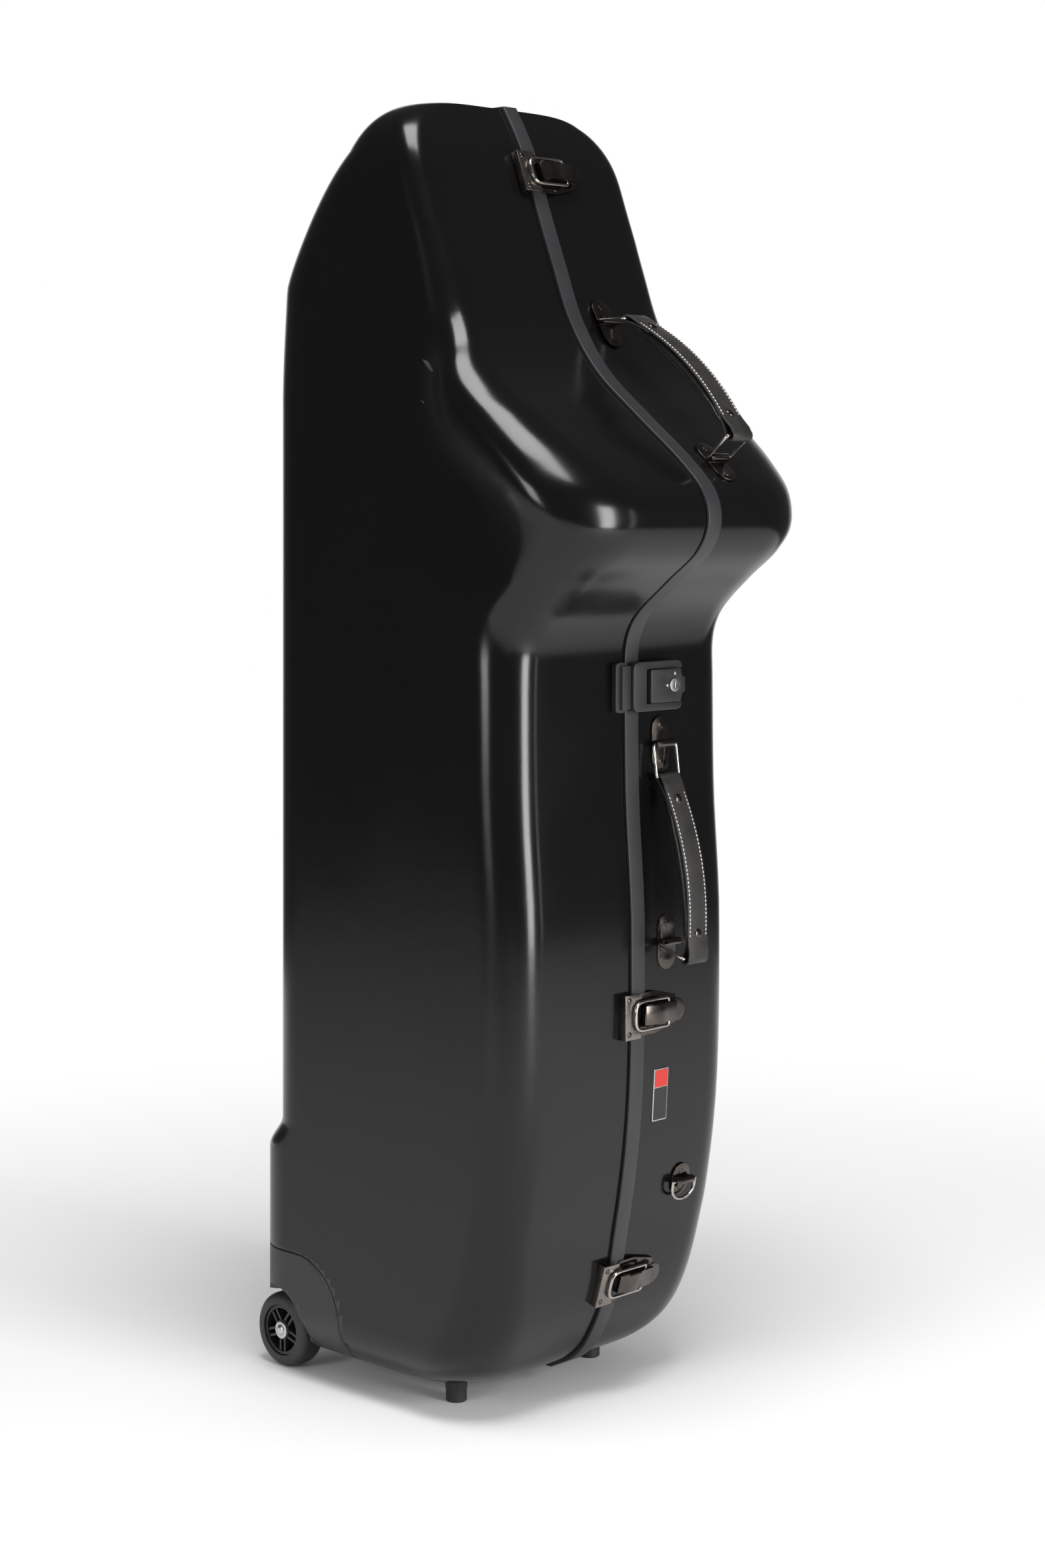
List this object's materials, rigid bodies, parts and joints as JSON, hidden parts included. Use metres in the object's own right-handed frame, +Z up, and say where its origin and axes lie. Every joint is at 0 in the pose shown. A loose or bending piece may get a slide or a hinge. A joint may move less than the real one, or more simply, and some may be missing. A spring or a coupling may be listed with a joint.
{
  "type": "baritone saxophone case",
  "caption": "Tall hard shell case for a baritone saxophone: base and lid hinged at the back, latches, key lock, leather handles, wheels and feet.",
  "frame": {"origin": "middle of the footprint of the standing closed case, on the floor", "axes": "+Z up along the case, +X through its thickness from the base shell to the lid, -Y the front with latches and handles"},
  "size_m": [0.3436, 0.4396, 1.1705],
  "materials": {
    "shell": "satin gloss",
    "band": "satin",
    "alloy": "satin",
    "gunmetal": "polished black nickel",
    "steel": "brushed",
    "zinc": "zinc plated",
    "moulding": "satin",
    "tyre": "matte",
    "rubber": "matte",
    "leather": "semi gloss grain",
    "plush": "short pile"
  },
  "bodies": {
    "base": {"base_shell": "shell", "base_lining": "plush", "base_rim": "alloy", "rim_seal": "rubber", "base_wheel_housing": "moulding", "base_wheel_bolt": "zinc", "base_foot": "rubber", "base_hinge_leaf_bottom": "gunmetal", "base_hinge_leaf_middle": "gunmetal", "base_hinge_leaf_top": "gunmetal", "strike_plate_bottom": "gunmetal", "strike_plate_middle": "gunmetal", "strike_plate_top": "gunmetal", "lock_catch": "moulding"},
    "lid": {"lid_shell": "shell", "lid_lining": "plush", "lid_seam_band": "band", "lid_wheel_housing": "moulding", "lid_wheel_bolt": "zinc", "lid_foot": "rubber", "lid_hinge_leaf_bottom": "gunmetal", "lid_hinge_leaf_middle": "gunmetal", "lid_hinge_leaf_top": "gunmetal", "hinge_pin_bottom": "gunmetal", "hinge_pin_middle": "gunmetal", "hinge_pin_top": "gunmetal", "latch_plate_bottom": "gunmetal", "latch_plate_middle": "gunmetal", "latch_plate_top": "gunmetal", "lock_housing": "moulding", "upper_bracket_top": "gunmetal", "upper_bracket_bottom": "gunmetal", "lower_bracket_top": "gunmetal", "lower_bracket_bottom": "gunmetal", "badge_plate": "steel", "ring_bracket": "gunmetal"},
    "base_wheel": {"base_wheel_tyre": "tyre", "base_wheel_hub": "moulding"},
    "lid_wheel": {"lid_wheel_tyre": "tyre", "lid_wheel_hub": "moulding"},
    "latch_lever_bottom": {"latch_lever_bottom": "gunmetal"},
    "latch_bail_bottom": {"latch_bail_bottom": "gunmetal"},
    "latch_lever_middle": {"latch_lever_middle": "gunmetal"},
    "latch_bail_middle": {"latch_bail_middle": "gunmetal"},
    "latch_lever_top": {"latch_lever_top": "gunmetal"},
    "latch_bail_top": {"latch_bail_top": "gunmetal"},
    "lock_lever": {"lock_lever": "moulding"},
    "key_cylinder": {"key_cylinder": "steel"},
    "upper_loop_top": {"upper_loop_top": "gunmetal"},
    "upper_handle": {"upper_handle_strap": "leather", "upper_handle_pad": "leather"},
    "upper_loop_bottom": {"upper_loop_bottom": "gunmetal"},
    "lower_loop_top": {"lower_loop_top": "gunmetal"},
    "lower_handle": {"lower_handle_strap": "leather", "lower_handle_pad": "leather"},
    "lower_loop_bottom": {"lower_loop_bottom": "gunmetal"},
    "hanging_ring": {"hanging_ring": "gunmetal"}
  },
  "joints": [
    {"name": "lid_hinge", "type": "hinge", "parent": "base", "child": "lid", "pos_m": [0, 0.2035, 0.6], "axis": [0, 0, 1], "range_deg": [0, 110]},
    {"name": "base_wheel_spin", "type": "hinge", "parent": "base", "child": "base_wheel", "pos_m": [-0.122, 0.18575, 0.034], "axis": [1, 0, 0], "continuous": true},
    {"name": "lid_wheel_spin", "type": "hinge", "parent": "lid", "child": "lid_wheel", "pos_m": [0.122, 0.18575, 0.034], "axis": [1, 0, 0], "continuous": true},
    {"name": "latch_lever_bottom_lift", "type": "hinge", "parent": "lid", "child": "latch_lever_bottom", "pos_m": [0.014, -0.10782, 0.10477], "axis": [0, 0.2857, -0.9583], "range_deg": [0, 120]},
    {"name": "latch_bail_bottom_swing", "type": "hinge", "parent": "latch_lever_bottom", "child": "latch_bail_bottom", "pos_m": [0.042, -0.10696, 0.10502], "axis": [0, 0.2857, -0.9583], "range_deg": [-120, 0]},
    {"name": "latch_lever_middle_lift", "type": "hinge", "parent": "lid", "child": "latch_lever_middle", "pos_m": [0.014, -0.13836, 0.34901], "axis": [0, -0.0011, -1], "range_deg": [0, 120]},
    {"name": "latch_bail_middle_swing", "type": "hinge", "parent": "latch_lever_middle", "child": "latch_bail_middle", "pos_m": [0.042, -0.13746, 0.34901], "axis": [0, -0.0011, -1], "range_deg": [-120, 0]},
    {"name": "latch_lever_top_lift", "type": "hinge", "parent": "lid", "child": "latch_lever_top", "pos_m": [0.014, -0.01147, 1.10895], "axis": [0, -0.3451, -0.9386], "range_deg": [0, 120]},
    {"name": "latch_bail_top_swing", "type": "hinge", "parent": "latch_lever_top", "child": "latch_bail_top", "pos_m": [0.042, -0.01063, 1.10864], "axis": [0, -0.3451, -0.9386], "range_deg": [-120, 0]},
    {"name": "lock_lever_lift", "type": "hinge", "parent": "lid", "child": "lock_lever", "pos_m": [0.022, -0.13198, 0.64039], "axis": [0, 0.0098, -1], "range_deg": [0, 35]},
    {"name": "key_turn", "type": "hinge", "parent": "lock_lever", "child": "key_cylinder", "pos_m": [0.053, -0.13318, 0.64037], "axis": [0, -1, -0.0098], "range_deg": [0, 90]},
    {"name": "upper_loop_top_lift", "type": "hinge", "parent": "lid", "child": "upper_loop_top", "pos_m": [0.049, -0.0614, 0.9706], "axis": [-1, 0, 0], "range_deg": [-20, 10]},
    {"name": "upper_handle_swing", "type": "hinge", "parent": "upper_loop_top", "child": "upper_handle", "pos_m": [0.049, -0.09139, 0.97087], "axis": [-1, 0, 0], "range_deg": [-11.75, 23]},
    {"name": "upper_loop_bottom_lift", "type": "hinge", "parent": "lid", "child": "upper_loop_bottom", "pos_m": [0.049, -0.18975, 0.84452], "axis": [-1, 0, 0], "range_deg": [-12.5, 6.5]},
    {"name": "lower_loop_top_lift", "type": "hinge", "parent": "lid", "child": "lower_loop_top", "pos_m": [0.049, -0.12675, 0.58756], "axis": [-1, 0, 0], "range_deg": [0, 30]},
    {"name": "lower_handle_swing", "type": "hinge", "parent": "lower_loop_top", "child": "lower_handle", "pos_m": [0.049, -0.13049, 0.55779], "axis": [-1, 0, 0], "range_deg": [-35.21, 0]},
    {"name": "lower_loop_bottom_lift", "type": "hinge", "parent": "lid", "child": "lower_loop_bottom", "pos_m": [0.049, -0.1335, 0.40951], "axis": [-1, 0, 0], "range_deg": [0, 8.3]},
    {"name": "hanging_ring_swing", "type": "hinge", "parent": "lid", "child": "hanging_ring", "pos_m": [0.083, -0.1205, 0.18685], "axis": [-1, 0, 0], "range_deg": [0, 80]}
  ],
  "couplings": [
    {"joint": "latch_bail_bottom_swing", "follows": "latch_lever_bottom_lift", "ratio": -1},
    {"joint": "latch_bail_middle_swing", "follows": "latch_lever_middle_lift", "ratio": -1},
    {"joint": "latch_bail_top_swing", "follows": "latch_lever_top_lift", "ratio": -1},
    {"joint": "upper_handle_swing", "follows": "upper_loop_top_lift", "ratio": -1.125},
    {"joint": "upper_loop_bottom_lift", "follows": "upper_loop_top_lift", "ratio": 0.6},
    {"joint": "lower_handle_swing", "follows": "lower_loop_top_lift", "ratio": -1.157},
    {"joint": "lower_loop_bottom_lift", "follows": "lower_loop_top_lift", "ratio": 0.26}
  ]
}
